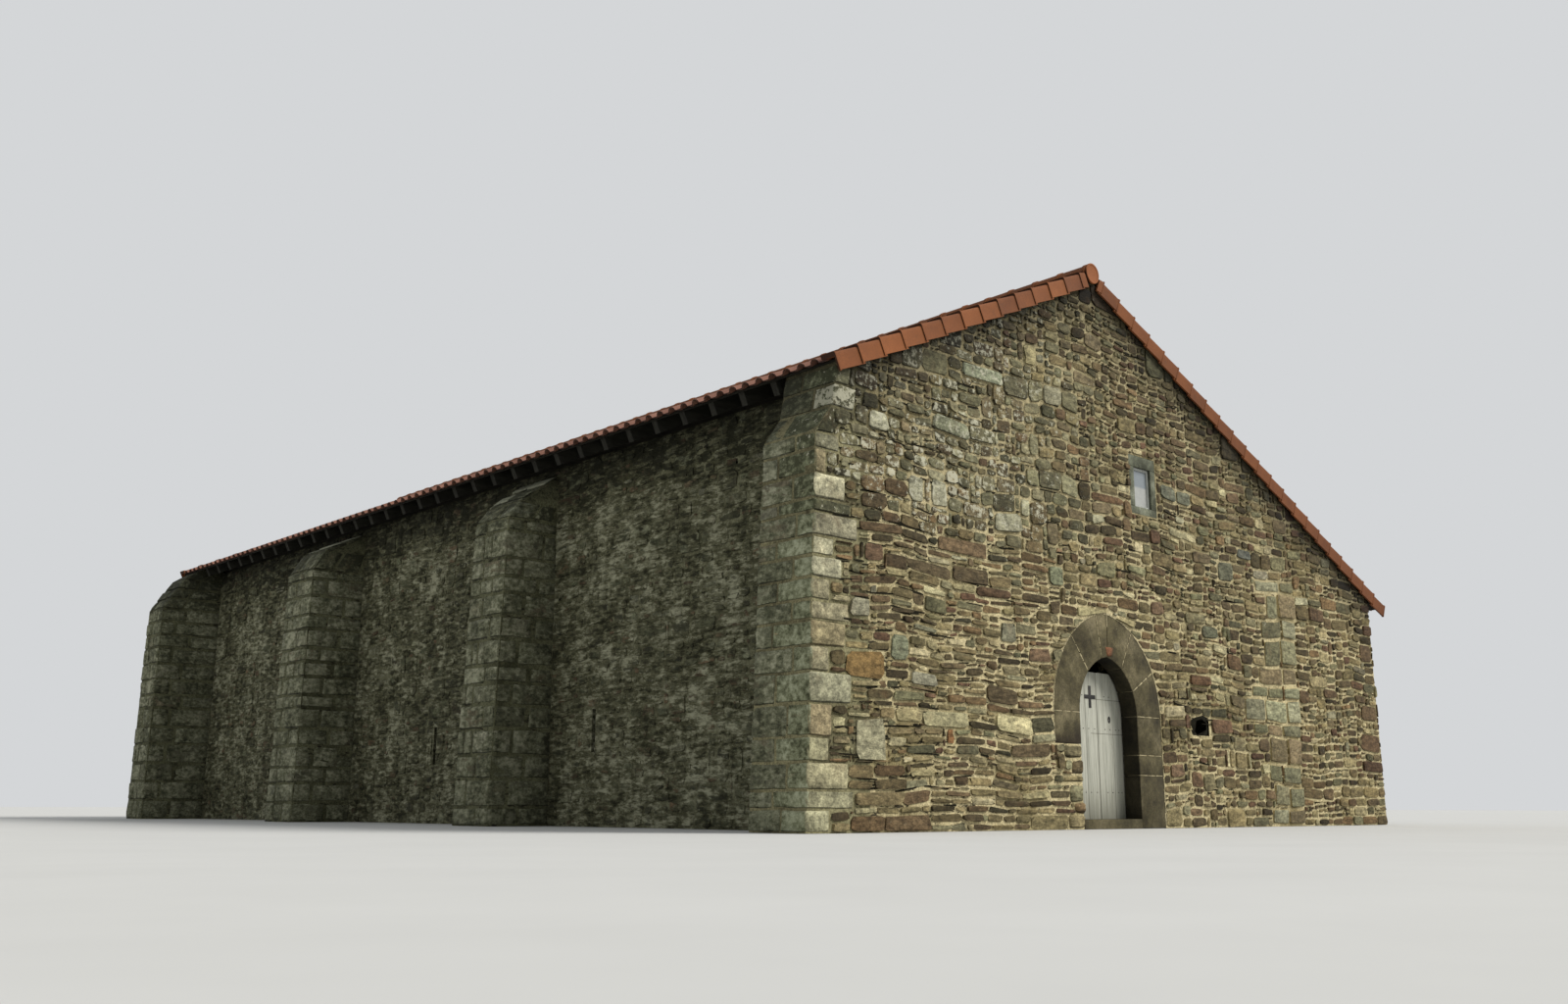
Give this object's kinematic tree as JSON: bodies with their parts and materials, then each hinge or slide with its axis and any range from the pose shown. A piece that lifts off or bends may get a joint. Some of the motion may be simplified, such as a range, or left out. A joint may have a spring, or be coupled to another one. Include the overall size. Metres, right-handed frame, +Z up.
{
  "type": "small stone chapel",
  "caption": "Small rubble-stone chapel with an off-centre ridge, clay tile roof, battered buttresses, slits, a gable window and a pointed doorway whose boarded leaf opens inwards.",
  "frame": {"origin": "middle of the rectangle of the four walls' outer faces, at ground level, on the underside of the floor slab", "axes": "+Z up; -Y towards the viewer of the front gable with the doorway; -X towards the side with the buttresses"},
  "size_m": [12.8283, 18.56, 7.0397],
  "materials": {
    "gable_rubble": "rough coursed rubble, pale mortar",
    "side_rubble": "rough rubble with smeared mortar, lichened",
    "ashlar": "weathered squared blocks",
    "dressed_stone": "smooth dressed stone",
    "floor_stone": "worn flags",
    "black_iron": "forged and blackened",
    "door_boards": "weathered pale paint on boards",
    "window_paint": "dull grey paint",
    "window_pane": "clear",
    "terracotta": "unglazed clay",
    "roof_timber": "dark, rough sawn"
  },
  "bodies": {
    "building": {"floor_slab": "floor_stone", "door_threshold": "dressed_stone", "front_wall_left": "gable_rubble", "front_wall_right": "gable_rubble", "front_wall_over_door": "gable_rubble", "front_gable_left": "gable_rubble", "front_gable_right": "gable_rubble", "front_wall_at_window": "gable_rubble", "back_wall": "side_rubble", "left_wall_front": "side_rubble", "slit_bay_front": "side_rubble", "left_wall_middle": "side_rubble", "slit_bay_rear": "side_rubble", "left_wall_rear": "side_rubble", "right_wall": "side_rubble", "buttress_front_corner": "ashlar", "buttress_second": "ashlar", "buttress_third": "ashlar", "buttress_rear_corner": "ashlar", "door_jamb_left": "dressed_stone", "door_jamb_right": "dressed_stone", "door_arch": "dressed_stone", "door_rear_lintel": "dressed_stone", "pintle_lower": "black_iron", "pintle_upper": "black_iron", "window_lintel": "dressed_stone", "window_sill": "dressed_stone", "window_jamb_left": "dressed_stone", "window_jamb_right": "dressed_stone", "window_frame": "window_paint", "window_glass": "window_pane", "wall_plates": "roof_timber", "ridge_beam": "roof_timber", "purlins": "roof_timber", "rafters_left": "roof_timber", "rafters_right": "roof_timber", "roof_boards_left": "roof_timber", "roof_boards_right": "roof_timber", "tile_field_left": "terracotta", "tile_field_right": "terracotta", "verge_tiles_front": "terracotta", "verge_tiles_back": "terracotta", "ridge_tiles": "terracotta", "ridge_end_caps": "terracotta"},
    "door": {"door_planks": "door_boards", "door_ledges": "door_boards", "door_strap_lower": "black_iron", "door_strap_upper": "black_iron", "door_iron_cross": "black_iron", "door_escutcheon": "black_iron", "door_lock": "black_iron"}
  },
  "joints": [
    {"name": "door_hinge", "type": "hinge", "parent": "building", "child": "door", "pos_m": [-2.166, -8.887, 0.795], "axis": [0, 0, 1], "range_deg": [0, 90]}
  ]
}
